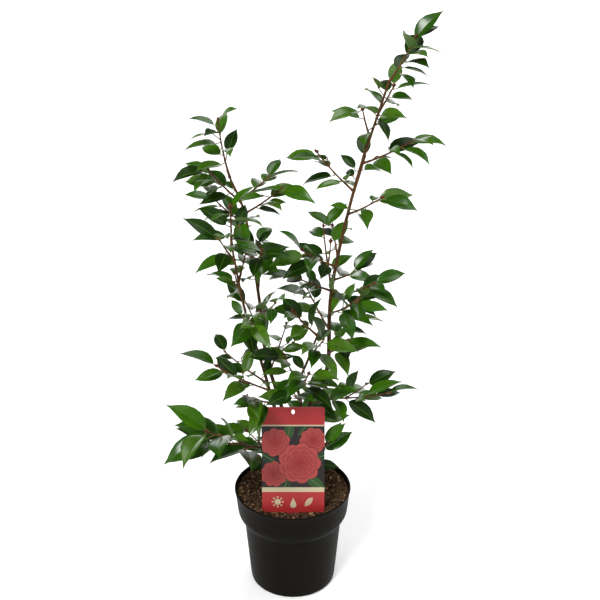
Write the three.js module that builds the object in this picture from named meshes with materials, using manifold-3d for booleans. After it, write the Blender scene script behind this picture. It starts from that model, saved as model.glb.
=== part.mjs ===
// Camellia shrub in a black nursery pot, with its plant label standing in the soil.
// Millimetres, +Z up. The origin is the centre of the pot's underside, and the label faces -Y.
import * as THREE from 'three';
import { mergeVertices } from 'three/addons/utils/BufferGeometryUtils.js';
import Module from 'manifold-3d';

const wasm = await Module();
wasm.setup();

// Pot
const POT_HEIGHT = 155;
const RIM_RADIUS = 85;
const BAND_FOOT_RADIUS = 80.3;
const BAND_FOOT_HEIGHT = 117;
const SHOULDER_RADIUS = 71.6;
const SHOULDER_HEIGHT = 103;
const BASE_RADIUS = 63;
const BASE_ROUNDING = 5;
const POT_WALL = 2.2;
const POT_FLOOR = 4;
const LIP_ROUNDING = 1.2;
const POT_SIDES = 36;

// Soil
const SOIL_TOP = 147;
const SOIL_EDGE_DROP = 1.5;
const SOIL_FLAT_RADIUS = 20;

// Label: a leaning card on a stake
const LABEL_WIDTH = 88;
const LABEL_HEIGHT = 157;
const LABEL_THICKNESS = 0.8;
const LABEL_CORNER = 4;
const LABEL_LEAN = 10;
const LABEL_FOOT_FORWARD = 58;
const LABEL_ASIDE = 1.2;
const LABEL_ABOVE_SOIL = 0.8;
const LABEL_HOLE_WIDTH = 4.6;
const LABEL_HOLE_HEIGHT = 7.2;
const LABEL_HOLE_DOWN = 7;
const STAKE_WIDTH = 16;
const STAKE_DEPTH = 42;
const STAKE_POINT_FROM = 0.8;

// Clearance between neighbouring pieces
const CLEARANCE = 0.3;
const SLOT_CLEARANCE = 0.45;

// How finely rounded corners are stepped, and what counts as one point or as a leftover edge
const ROUND_STEPS = 3;
const SAME_POINT = 1e-4;
const TINY_EDGE = 0.03;

// Limbs: the points that a limb passes through, then its radius at its foot and at its tip
const TRUNK_FOOT = SOIL_TOP + CLEARANCE;
const LIMBS = {
  trunk: { route: [[0, 0, TRUNK_FOOT], [0, 0, 170], [1, 1, 208]], foot: 6.4, tip: 6, flare: 4, sides: 10 },
  bough_right: {
    route: [[1, 1, 186], [24, 6, 284], [49, 11, 342], [54, 14, 460], [83, 8, 610], [121, -4, 746]],
    foot: 4, tip: 1.5,
  },
  bough_left: {
    route: [[0, 2, 180], [-14, 12, 272], [-37, 22, 355], [-47, 29, 450], [-63, 34, 559], [-82, 34, 612]],
    foot: 3.2, tip: 1.5,
  },
  bough_outer: {
    route: [[-1, -1, 176], [-24, -12, 286], [-40, -23, 360], [-62, -34, 449], [-77, -43, 545]],
    foot: 2.8, tip: 1.4,
  },
  bough_middle: {
    route: [[1, -2, 182], [12, -14, 290], [8, -20, 329], [22, -30, 376], [34, -36, 414]],
    foot: 2.6, tip: 1.4,
  },
  bough_low: {
    route: [[-1, -2, 172], [-34, -12, 222], [-59, -55, 254], [-78, -92, 290]],
    foot: 2.6, tip: 1.6, leafSize: 1.45,
  },
};
const LIMB_SIDES = 7;
const LIMB_RING_STEP = 36;
const FLARE_FADE = 9;

// A line with a larger rise than this is steep: its sides are then taken from the back, not from above
const STEEP = 0.93;

// Shoots that leave each limb: the height of the joint on it, then the shoot's bearing
// (0 to the right, 90 to the back) and rise in degrees, its length, the turn of its bearing on the way
// and its number of leaves, and where it matters the angle round the stem at which the first leaf stands
const SHOOTS = {
  bough_right: [
    [746, -7, 61, 64, 0, 10, 90],
    [708, 53, 39, 43, 0, 6, 135],
    [700, -91, 20, 26, 0, 3],
    [674, -122, 62, 46, 0, 3, 240],
    [639, -24, 29, 79, 10, 6, 0],
    [601, 163, 44, 70, 0, 6, 90],
    [594, 69, 37, 66, 0, 3, 195],
    [569, -47, 31, 72, 20, 4, 195],
    [508, 96, 26, 59, 0, 7, 165],
    [494, -142, 32, 69, -10, 5],
    [474, 29, 9, 40, 0, 4, 135],
    [461, 122, 75, 87, 0, 4],
    [458, 158, 14, 60, 0, 5, 45],
    [447, -28, 28, 73, 10, 7],
    [425, -61, 31, 88, 20, 5, 150],
    [400, 116, 28, 76, 0, 7, 330],
    [378, 41, 34, 67, 0, 6, 120],
    [365, -59, 37, 61, 20, 5, 150],
    [297, -18, 13, 113, 10, 7, 0],
    [290, -58, 29, 54, 0, 5, 60],
  ],
  bough_left: [
    [612, -148, 79, 80, 0, 8, 300],
    [582, 23, 32, 50, 0, 6, 345],
    [578, -162, 49, 71, 0, 9, 270],
    [562, -10, 37, 64, 0, 6, 240],
    [544, 138, 22, 76, 0, 7, 90],
    [512, 61, -5, 35, 0, 3, 240],
    [500, 100, 27, 80, 0, 6, 225],
    [493, -79, 30, 91, 0, 7],
    [452, 87, 25, 83, 0, 5, 30],
    [420, -72, 31, 84, 0, 4, 30],
    [386, 116, 25, 71, 0, 5, 60],
    [333, 75, 22, 94, 0, 6],
  ],
  bough_outer: [
    [545, -81, 93, 50, 0, 5],
    [524, -120, 50, 54, 0, 5, 315],
    [493, 72, 48, 44, 0, 4, 60],
    [469, 106, 23, 46, 0, 3],
    [443, -81, 15, 74, 0, 7, 270],
    [333, 151, 25, 76, 0, 7, 315],
    [321, -160, 34, 90, 0, 7, 315],
    [300, -121, 32, 76, 0, 6, 255],
  ],
  bough_middle: [
    [414, -159, 50, 53, 0, 6, 45],
    [385, -64, 44, 54, 0, 5, 105],
    [334, -149, 66, 54, 0, 5],
    [326, -74, 42, 73, 0, 6, 210],
    [303, -100, 38, 66, 0, 5],
  ],
  trunk: [
    [161, -32, 53, 103, -50, 6, 90],
    [180, 164, 39, 90, 0, 6, 180],
    [178, 67, 51, 120, 0, 9, 285],
  ],
  bough_low: [
    [290, -141, 30, 49, 0, 5, 15],
    [268, -172, 7, 38, 0, 4, 15],
    [253, -105, 19, 24, 0, 2],
  ],
};
const TWIG_FOOT_RADIUS = 1.5;
const TWIG_TIP_RADIUS = 0.9;
const TWIG_SIDES = 3;
const TWIG_RING_STEP = 28;
const SHOOT_LIFT = 12;

// A shoot longer than this carries a side twig for every such length
const SIDE_TWIG_EVERY = 84;
const SIDE_TWIG_FROM = 0.42;
const SIDE_TWIG_STEP = 0.22;
const SIDE_TWIG_SHIFT = 0.08;
const SIDE_TWIG_LENGTH = 0.36;
const SIDE_TWIG_LENGTH_SPREAD = 0.2;
const SIDE_TWIG_OPENING = 48;
const SIDE_TWIG_OPENING_SPREAD = 10;
const SIDE_TWIG_RISE_SPREAD = 14;
const SIDE_TWIG_LEAVES = 2;

// Leaves
const LEAF_LENGTH = 48;
const LEAF_LENGTH_SPREAD = 0.2;
const LEAF_WIDTH = 0.43;
const LEAF_THICKNESS = 1;
const LEAF_FOLD = 0.3;
const LEAF_TURN = 137.5;
const LEAF_OPENING_LOW = 70;
const LEAF_OPENING_TIP = 48;
const LEAF_OPENING_SPREAD = 8;
const LEAF_FIRST = 0.3;
const LEAF_CROWDING = 1.25;
const LEAF_SINK = 3.5;
const LEAF_RINGS = [[0.3, 0.98], [0.68, 0.72]];
const LEAF_RISE = 0.6;
const LEAF_REACH = 0.55;
const LEAF_REACH_RISE = 8;
const LEAF_NOD = 0.2;
const LEAF_TILT = 0.45;
const LEAF_SAG = 0.2;
const LEAF_SAG_SPREAD = 0.1;

// Room that a leaf needs: from other leaves, from limbs and twigs, and from the label
const LEAF_ROOM = 8;
const LIMB_ROOM = 5;
const LABEL_ROOM = 7;
const LABEL_SIGHT_INSET = 10;
const LABEL_SIGHT_SLOPE = 0.4;
const RIM_ROOM = 8;
const LEAF_TRIES = 8;
const LEAF_TRY_TURN = 47;

// Where that room is measured: fractions of a leaf's length, each with a share of its width
const LEAF_SAMPLES = [[0.3, 0.6], [0.45, 0.8], [0.6, 0.7], [0.75, 0.5], [0.9, 0.2], [1, 0]];
const NARROW = 0.3;
const WOOD_SAMPLE_STEP = 5;
const HALVINGS = 30;

// Colours
const BARK = { color: '#5b4433', roughness: 0.8, metalness: 0 };
const LEAF = { color: '#2f6326', roughness: 0.4, metalness: 0 };
const BLACK_PLASTIC = { color: '#17181a', roughness: 0.35, metalness: 0 };
const COMPOST = { color: '#3a2a1f', roughness: 0.95, metalness: 0 };
const CARD = { color: '#c02b3a', roughness: 0.4, metalness: 0 };

const UP = new THREE.Vector3(0, 0, 1);
const BACK = new THREE.Vector3(0, 1, 0);

// The light that the leaves' upper sides turn to
const LIGHT = new THREE.Vector3(0, -0.4, 0.9);

const radians = THREE.MathUtils.degToRad;
const mix = THREE.MathUtils.lerp;

// A repeatable chance from 0 to 1 for the numbered choice of a numbered thing
function chance(thing, choice) {
  const wave = Math.sin(thing * 12.9898 + choice * 78.233) * 43758.5453;
  return wave - Math.floor(wave);
}

function spread(thing, choice) {
  return 2 * chance(thing, choice) - 1;
}

// The direction of a bearing and a rise in degrees
function heading(bearing, rise) {
  const flat = Math.cos(radians(rise));
  return new THREE.Vector3(flat * Math.cos(radians(bearing)), flat * Math.sin(radians(bearing)),
    Math.sin(radians(rise)));
}

function solidOf(points, faces) {
  return new wasm.Manifold(new wasm.Mesh({
    numProp: 3,
    vertProperties: new Float32Array(points.flatMap((point) => point.toArray())),
    triVerts: new Uint32Array(faces.flat()),
  }));
}

function solidFromGeometry(geometry) {
  geometry.deleteAttribute('normal');
  geometry.deleteAttribute('uv');
  const merged = mergeVertices(geometry, SAME_POINT);
  const triangles = Array.from(merged.index.array);
  const corners = [];
  for (let i = 0; i < triangles.length; i += 3) {
    const [a, b, c] = triangles.slice(i, i + 3);
    if (a !== b && b !== c && c !== a) corners.push(a, b, c);
  }
  return new wasm.Manifold(new wasm.Mesh({
    numProp: 3,
    vertProperties: merged.attributes.position.array,
    triVerts: new Uint32Array(corners),
  }));
}

// The largest body of a joined solid, without loose scraps or the tiny edges that joining leaves
function largestBody(solid) {
  const bodies = solid.simplify(TINY_EDGE).decompose();
  return bodies.reduce((best, body) => (body.volume() > best.volume() ? body : best));
}

function meshOf(name, solid, look) {
  const { vertProperties, triVerts } = solid.getMesh();
  const geometry = new THREE.BufferGeometry();
  geometry.setAttribute('position', new THREE.BufferAttribute(vertProperties, 3));
  geometry.setIndex(new THREE.BufferAttribute(triVerts, 1));
  geometry.computeVertexNormals();
  const mesh = new THREE.Mesh(geometry, new THREE.MeshStandardMaterial(look));
  mesh.name = name;
  return mesh;
}

// Closed rings of points joined into a skin, with an apex or a flat cap at each end
function skin(rings, startApex, endApex) {
  const sides = rings[0].length;
  const points = rings.flat();
  const faces = [];
  const lastRing = (rings.length - 1) * sides;
  const start = startApex ? points.push(startApex) - 1 : 0;
  const end = endApex ? points.push(endApex) - 1 : lastRing;
  for (let k = 0; k < sides; k++) {
    const next = (k + 1) % sides;
    for (let i = 0; i < lastRing; i += sides) {
      faces.push([i + k, i + next, i + sides + next], [i + k, i + sides + next, i + sides + k]);
    }
    if (startApex || (k > 0 && next > 0)) faces.push([start, next, k]);
    if (endApex || (k > 0 && next > 0)) faces.push([end, lastRing + k, lastRing + next]);
  }
  return solidOf(points, faces);
}

function steadySide(axis) {
  return Math.abs(axis.z) > STEEP ? BACK : UP;
}

// A tapering tube along a line, made fatter all over by swell
function tube(line, radiusAt, sides, ringStep, swell = 0) {
  const steps = Math.max(2, Math.round(line.getLength() / ringStep));
  const reference = steadySide(line.getTangent(0));
  const rings = [];
  for (let i = 0; i <= steps; i++) {
    const axis = line.getTangent(i / steps);
    const side = new THREE.Vector3().crossVectors(axis, reference).normalize();
    const over = new THREE.Vector3().crossVectors(axis, side);
    const centre = line.getPoint(i / steps);
    if (i === 0) centre.addScaledVector(axis, -swell);
    if (i === steps) centre.addScaledVector(axis, swell);
    const radius = radiusAt(i / steps) + swell / Math.cos(Math.PI / sides);
    rings.push(Array.from({ length: sides }, (_, k) => {
      const angle = (2 * Math.PI * k) / sides;
      return centre.clone().addScaledVector(side, radius * Math.cos(angle))
        .addScaledVector(over, radius * Math.sin(angle));
    }));
  }
  return skin(rings);
}

// Limbs as lines
function limbLine(limb) {
  return new THREE.CatmullRomCurve3(limb.route.map((point) => new THREE.Vector3(...point)), false,
    'catmullrom', 0.5);
}

function limbRadius(limb) {
  const { foot, tip, flare = 0 } = limb;
  return (t) => mix(foot, tip, t) + flare * Math.exp(-FLARE_FADE * t);
}

// Where along a rising line a height is reached
function fractionAtHeight(line, height) {
  let low = 0;
  let high = 1;
  for (let i = 0; i < HALVINGS; i++) {
    const middle = (low + high) / 2;
    if (line.getPoint(middle).z < height) low = middle;
    else high = middle;
  }
  return (low + high) / 2;
}

function shootLine(start, bearing, rise, length, turn) {
  const setOff = heading(bearing - turn / 2, rise - SHOOT_LIFT / 2);
  const ending = heading(bearing + turn / 2, rise + SHOOT_LIFT / 2);
  const knee = start.clone().addScaledVector(setOff, length / 2);
  const tip = knee.clone().addScaledVector(ending, length / 2);
  return new THREE.QuadraticBezierCurve3(start, knee, tip);
}

// A shoot's stem and the side twigs that a seeded rule sets on it
function growTwigs(number, start, leafSize, [, bearing, rise, length, turn, leaves, first]) {
  const stem = shootLine(start, bearing, rise, length, turn);
  const outward = heading(bearing, LEAF_REACH_RISE);
  const main = { line: stem, outward, leaves, leafSize, first, seed: number * 100, foot: TWIG_FOOT_RADIUS };
  const twigs = [main];
  const count = Math.floor(length / SIDE_TWIG_EVERY);
  for (let k = 0; k < count; k++) {
    const seed = number * 100 + 20 * (k + 1);
    const along = SIDE_TWIG_FROM + SIDE_TWIG_STEP * k + SIDE_TWIG_SHIFT * spread(seed, 1);
    const hand = (k + number) % 2 === 0 ? 1 : -1;
    const opening = SIDE_TWIG_OPENING + SIDE_TWIG_OPENING_SPREAD * spread(seed, 2);
    const sideLength = length * SIDE_TWIG_LENGTH * (1 + SIDE_TWIG_LENGTH_SPREAD * spread(seed, 3));
    const sideRise = rise + SIDE_TWIG_RISE_SPREAD * spread(seed, 4);
    const line = shootLine(stem.getPoint(along), bearing + hand * opening, sideRise, sideLength, 0);
    twigs.push({ line, outward, leaves: SIDE_TWIG_LEAVES, leafSize, seed, foot: TWIG_TIP_RADIUS });
  }
  return twigs;
}

// One leaf: its root, its heading, the normal of its upper side, its side and its size
function leafAt(twig, i, turn) {
  const seed = twig.seed + i + 1;
  const rank = twig.leaves > 1 ? i / (twig.leaves - 1) : 1;
  const along = mix(LEAF_FIRST, 1, 1 - (1 - rank) ** LEAF_CROWDING);
  const axis = twig.line.getTangent(along);
  const across = new THREE.Vector3().crossVectors(axis, steadySide(axis)).normalize();
  const over = new THREE.Vector3().crossVectors(across, axis);
  const first = twig.first ?? 360 * chance(twig.seed, 7);
  const angle = radians(first + LEAF_TURN * i + turn);
  const opening = radians(mix(LEAF_OPENING_LOW, LEAF_OPENING_TIP, rank)
    + LEAF_OPENING_SPREAD * spread(seed, 1));
  const ahead = axis.clone().multiplyScalar(Math.cos(opening))
    .addScaledVector(across, Math.sin(opening) * Math.cos(angle))
    .addScaledVector(over, Math.sin(opening) * Math.sin(angle));
  ahead.z *= LEAF_RISE;
  ahead.addScaledVector(twig.outward, LEAF_REACH);
  ahead.normalize();
  const normal = LIGHT.clone().addScaledVector(axis, LEAF_NOD);
  normal.x += LEAF_TILT * spread(seed, 2);
  normal.y += LEAF_TILT * spread(seed, 3);
  normal.addScaledVector(ahead, -normal.dot(ahead)).normalize();
  return {
    root: twig.line.getPoint(along).addScaledVector(axis, -LEAF_SINK),
    ahead,
    normal,
    side: new THREE.Vector3().crossVectors(normal, ahead),
    length: LEAF_LENGTH * twig.leafSize * (1 + LEAF_LENGTH_SPREAD * spread(seed, 4)),
    sag: LEAF_SAG + LEAF_SAG_SPREAD * spread(seed, 5),
  };
}

// The point of a leaf at a fraction of its length, set off to the side by a fraction of its width
function leafPoint(leaf, along, aside) {
  const halfWidth = 0.5 * LEAF_WIDTH * leaf.length;
  const lift = LEAF_FOLD * halfWidth * Math.abs(aside) - leaf.sag * leaf.length * along ** 2;
  return leaf.root.clone()
    .addScaledVector(leaf.ahead, leaf.length * along)
    .addScaledVector(leaf.normal, lift)
    .addScaledVector(leaf.side, halfWidth * aside);
}

function leafSolid(leaf) {
  const half = LEAF_THICKNESS / 2;
  const rings = LEAF_RINGS.map(([along, width]) => {
    const middle = leafPoint(leaf, along, 0);
    return [
      leafPoint(leaf, along, width),
      middle.clone().addScaledVector(leaf.normal, half),
      leafPoint(leaf, along, -width),
      middle.clone().addScaledVector(leaf.normal, -half),
    ];
  });
  return skin(rings, leaf.root, leafPoint(leaf, 1, 0));
}

// Places that stand for a leaf where its room is measured
function leafSamples(leaf) {
  return LEAF_SAMPLES.flatMap(([along, width]) => {
    const places = width > NARROW ? [-width, 0, width] : [0];
    return places.map((aside) => leafPoint(leaf, along, aside));
  });
}

// How the label's card lies: the middle of its foot, and the directions up along it and out of its face
const labelLean = radians(LABEL_LEAN);
const labelFoot = new THREE.Vector3(LABEL_ASIDE, -LABEL_FOOT_FORWARD, SOIL_TOP + LABEL_ABOVE_SOIL);
const labelUp = new THREE.Vector3(0, Math.sin(labelLean), Math.cos(labelLean));
const labelFace = new THREE.Vector3(0, -Math.cos(labelLean), Math.sin(labelLean));

function hitsLabel(point) {
  const offset = point.clone().sub(labelFoot);
  const before = offset.dot(labelFace);
  const aside = Math.abs(offset.x) - LABEL_WIDTH / 2;
  const above = offset.dot(labelUp) - LABEL_HEIGHT;
  const touches = Math.max(aside, above, Math.abs(before)) < LABEL_ROOM;
  const hides = before > 0 && aside < -LABEL_SIGHT_INSET && above < LABEL_SIGHT_SLOPE * before;
  return touches || hides;
}

function hitsPot(point) {
  return point.z < POT_HEIGHT + RIM_ROOM && Math.hypot(point.x, point.y) < RIM_RADIUS + RIM_ROOM;
}

function hasRoom(leaf, leafPlaces, woodPlaces) {
  return leafSamples(leaf).every((sample) => !hitsLabel(sample) && !hitsPot(sample)
    && leafPlaces.every((place) => place.distanceTo(sample) > LEAF_ROOM)
    && woodPlaces.every(({ centre, radius }) => centre.distanceTo(sample) > radius + LIMB_ROOM));
}

function woodAlong(line, radiusAt) {
  const steps = Math.ceil(line.getLength() / WOOD_SAMPLE_STEP);
  return Array.from({ length: steps + 1 }, (_, i) => ({
    centre: line.getPoint(i / steps), radius: radiusAt(i / steps),
  }));
}

function twigRadius(twig) {
  return (t) => mix(twig.foot, TWIG_TIP_RADIUS, t);
}

// Limbs, then every shoot's twigs, then the leaves with room for them
const limbs = Object.entries(LIMBS).map(([name, limb]) => {
  const line = limbLine(limb);
  const { sides = LIMB_SIDES, leafSize = 1 } = limb;
  return { name, line, radiusAt: limbRadius(limb), sides, leafSize };
});
const shoots = [];
for (const limb of limbs) {
  (SHOOTS[limb.name] || []).forEach((shoot, i) => {
    const number = shoots.length + 1;
    const start = limb.line.getPoint(fractionAtHeight(limb.line, shoot[0]));
    const twigs = growTwigs(number, start, limb.leafSize, shoot);
    shoots.push({ name: `${limb.name}_foliage_${i + 1}`, limb, twigs });
  });
}
const woodPlaces = limbs.flatMap((limb) => woodAlong(limb.line, limb.radiusAt));
for (const shoot of shoots) {
  for (const twig of shoot.twigs) woodPlaces.push(...woodAlong(twig.line, twigRadius(twig)));
}
const leafPlaces = [];
for (const shoot of shoots) {
  shoot.leaves = [];
  for (const twig of shoot.twigs) {
    for (let i = 0; i < twig.leaves; i++) {
      for (let attempt = 0; attempt < LEAF_TRIES; attempt++) {
        const leaf = leafAt(twig, i, attempt * LEAF_TRY_TURN);
        if (hasRoom(leaf, leafPlaces, woodPlaces)) {
          shoot.leaves.push(leaf);
          leafPlaces.push(...leafSamples(leaf));
          break;
        }
      }
    }
  }
}

// Pot: one profile turned about the axis, up the outside and down the inside
function lathe(profile) {
  const geometry = new THREE.LatheGeometry(profile, POT_SIDES);
  geometry.rotateX(Math.PI / 2);
  return solidFromGeometry(geometry);
}

function potOutside() {
  const corner = new THREE.EllipseCurve(BASE_RADIUS - BASE_ROUNDING, BASE_ROUNDING,
    BASE_ROUNDING, BASE_ROUNDING, -Math.PI / 2, 0);
  return [
    new THREE.Vector2(0, 0),
    ...corner.getPoints(ROUND_STEPS),
    new THREE.Vector2(SHOULDER_RADIUS, SHOULDER_HEIGHT),
    new THREE.Vector2(BAND_FOOT_RADIUS, BAND_FOOT_HEIGHT),
    new THREE.Vector2(RIM_RADIUS, POT_HEIGHT - LIP_ROUNDING),
    new THREE.Vector2(RIM_RADIUS - LIP_ROUNDING / 2, POT_HEIGHT),
  ];
}

function potInside(inset) {
  return [
    new THREE.Vector2(RIM_RADIUS - inset, POT_HEIGHT),
    new THREE.Vector2(BAND_FOOT_RADIUS - inset, BAND_FOOT_HEIGHT),
    new THREE.Vector2(SHOULDER_RADIUS - inset, SHOULDER_HEIGHT),
    new THREE.Vector2(BASE_RADIUS - inset, POT_FLOOR + inset - POT_WALL + BASE_ROUNDING),
    new THREE.Vector2(BASE_RADIUS - BASE_ROUNDING - inset, POT_FLOOR + inset - POT_WALL),
    new THREE.Vector2(0, POT_FLOOR + inset - POT_WALL),
  ];
}

function makePot() {
  return meshOf('pot', lathe([...potOutside(), ...potInside(POT_WALL)]), BLACK_PLASTIC);
}

// Label: a rounded card with a punched hole, drawn flat with its foot at the origin, on a pointed stake
function labelOutline(gap) {
  const half = LABEL_WIDTH / 2;
  const stake = STAKE_WIDTH / 2 + gap;
  const outline = new THREE.Shape();
  outline.moveTo(-stake, 0);
  outline.lineTo(-stake, -STAKE_DEPTH * STAKE_POINT_FROM);
  outline.lineTo(0, -STAKE_DEPTH - gap);
  outline.lineTo(stake, -STAKE_DEPTH * STAKE_POINT_FROM);
  outline.lineTo(stake, 0);
  const corners = [[1, 0], [1, 1], [-1, 1], [-1, 0]];
  corners.forEach(([across, high], i) => {
    const x = across * (half - LABEL_CORNER);
    const y = high ? LABEL_HEIGHT - LABEL_CORNER : LABEL_CORNER;
    outline.absarc(x, y, LABEL_CORNER, (i - 1) * (Math.PI / 2), i * (Math.PI / 2), false);
  });
  return outline;
}

function labelSolid(gap) {
  const outline = labelOutline(gap);
  const hole = new THREE.Path();
  hole.absellipse(0, LABEL_HEIGHT - LABEL_HOLE_DOWN, LABEL_HOLE_WIDTH / 2, LABEL_HOLE_HEIGHT / 2,
    0, 2 * Math.PI, true);
  outline.holes.push(hole);
  const geometry = new THREE.ExtrudeGeometry(outline, {
    depth: LABEL_THICKNESS + 2 * gap, bevelEnabled: false, curveSegments: ROUND_STEPS,
  });
  geometry.translate(0, 0, -LABEL_THICKNESS / 2 - gap);
  geometry.rotateX(Math.PI / 2 - labelLean);
  geometry.translate(labelFoot.x, labelFoot.y, labelFoot.z);
  return solidFromGeometry(geometry);
}

// Soil: it fills the pot to a low dome, with a slot for the label's stake
function makeSoil() {
  const inset = POT_WALL + CLEARANCE;
  const edge = potInside(inset);
  const edgeHeight = SOIL_TOP - SOIL_EDGE_DROP;
  const bandSlope = (edge[0].x - edge[1].x) / (edge[0].y - edge[1].y);
  const solid = lathe([
    ...edge.slice(1).reverse(),
    new THREE.Vector2(edge[1].x + bandSlope * (edgeHeight - edge[1].y), edgeHeight),
    new THREE.Vector2(SOIL_FLAT_RADIUS, SOIL_TOP),
    new THREE.Vector2(0, SOIL_TOP),
  ]);
  return meshOf('soil', solid.subtract(labelSolid(SLOT_CLEARANCE)), COMPOST);
}

// A limb seats on the trunk with a clearance all round
function makeLimb(limb) {
  const solid = tube(limb.line, limb.radiusAt, limb.sides, LIMB_RING_STEP);
  if (limb.name === 'trunk') return meshOf(limb.name, solid, BARK);
  return meshOf(limb.name, largestBody(solid.subtract(fatLimb(limbs[0]))), BARK);
}

function fatLimb(limb) {
  return tube(limb.line, limb.radiusAt, limb.sides, LIMB_RING_STEP, CLEARANCE);
}

// A mass of foliage: a shoot's twigs with their leaves fused on, seated on its limb
function makeFoliage(shoot) {
  let solid = null;
  for (const twig of shoot.twigs) {
    const wood = tube(twig.line, twigRadius(twig), TWIG_SIDES, TWIG_RING_STEP);
    solid = solid ? solid.add(wood) : wood;
  }
  solid = solid.subtract(fatLimb(shoot.limb));
  for (const leaf of shoot.leaves) solid = solid.add(leafSolid(leaf));
  return meshOf(shoot.name, largestBody(solid), LEAF);
}

const group = new THREE.Group();
group.add(makePot(), makeSoil(), meshOf('label', labelSolid(0), CARD));
for (const limb of limbs) group.add(makeLimb(limb));
for (const shoot of shoots) group.add(makeFoliage(shoot));

export default group;
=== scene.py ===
"""A camellia shrub in its black nursery pot, dressed for its portrait.

The plant is grown by the same rule as its solids. Lengths are in millimetres until a mesh is placed.
"""
import math

import bmesh
import bpy
import numpy as np
from mathutils import Matrix, Vector, noise


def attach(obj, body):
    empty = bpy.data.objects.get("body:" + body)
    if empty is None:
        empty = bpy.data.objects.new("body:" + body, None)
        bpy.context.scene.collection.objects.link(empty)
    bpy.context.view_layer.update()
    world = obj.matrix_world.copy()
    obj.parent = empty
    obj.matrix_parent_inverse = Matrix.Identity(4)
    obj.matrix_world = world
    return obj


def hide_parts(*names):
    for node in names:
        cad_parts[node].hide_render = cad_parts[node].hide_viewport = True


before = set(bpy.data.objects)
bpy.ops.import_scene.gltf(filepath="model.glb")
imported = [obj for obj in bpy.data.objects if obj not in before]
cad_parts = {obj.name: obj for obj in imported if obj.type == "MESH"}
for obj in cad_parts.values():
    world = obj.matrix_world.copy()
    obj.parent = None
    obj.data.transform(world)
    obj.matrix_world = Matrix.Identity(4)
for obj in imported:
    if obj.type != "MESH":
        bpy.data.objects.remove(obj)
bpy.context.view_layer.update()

MM = 0.001

# Pot
POT_HEIGHT = 155
RIM_RADIUS = 85
BAND_FOOT_RADIUS = 80.3
BAND_FOOT_HEIGHT = 117
SHOULDER_RADIUS = 71.6
SHOULDER_HEIGHT = 103
BASE_RADIUS = 63
POT_WALL = 2.2
POT_FLOOR = 4
POT_STEPS = 128

# Soil
SOIL_TOP = 147
SOIL_EDGE_DROP = 1.5
SOIL_DOME_RADIUS = 78
SOIL_SINK = 0.8
SOIL_GAP = 0.4
SOIL_BANK = 3.6
SOIL_BANK_FROM = 52
SOIL_BANK_WIDTH = 24

# Label
LABEL_WIDTH = 88
LABEL_HEIGHT = 157
LABEL_THICKNESS = 0.8
LABEL_CORNER = 4
LABEL_LEAN = 10
LABEL_FOOT_FORWARD = 58
LABEL_ASIDE = 1.2
LABEL_ABOVE_SOIL = 0.8
LABEL_HOLE_WIDTH = 4.6
LABEL_HOLE_HEIGHT = 7.2
LABEL_HOLE_DOWN = 7
STAKE_WIDTH = 16
STAKE_DEPTH = 42

# Limbs: the points that a limb passes through, then its radius at its foot and at its tip
TRUNK_FOOT = 147.3
LIMBS = {
    "trunk": dict(route=[(0, 0, TRUNK_FOOT), (0, 0, 170), (1, 1, 208)], foot=6.4, tip=6, flare=4),
    "bough_right": dict(
        route=[(1, 1, 186), (24, 6, 284), (49, 11, 342), (54, 14, 460), (83, 8, 610), (121, -4, 746)],
        foot=4, tip=1.5),
    "bough_left": dict(
        route=[(0, 2, 180), (-14, 12, 272), (-37, 22, 355), (-47, 29, 450), (-63, 34, 559), (-82, 34, 612)],
        foot=3.2, tip=1.5),
    "bough_outer": dict(
        route=[(-1, -1, 176), (-24, -12, 286), (-40, -23, 360), (-62, -34, 449), (-77, -43, 545)],
        foot=2.8, tip=1.4),
    "bough_middle": dict(
        route=[(1, -2, 182), (12, -14, 290), (8, -20, 329), (22, -30, 376), (34, -36, 414)],
        foot=2.6, tip=1.4),
    "bough_low": dict(
        route=[(-1, -2, 172), (-34, -12, 222), (-59, -55, 254), (-78, -92, 290)],
        foot=2.6, tip=1.6, leaf_size=1.45),
}
FLARE_FADE = 9
STEEP = 0.93

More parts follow.
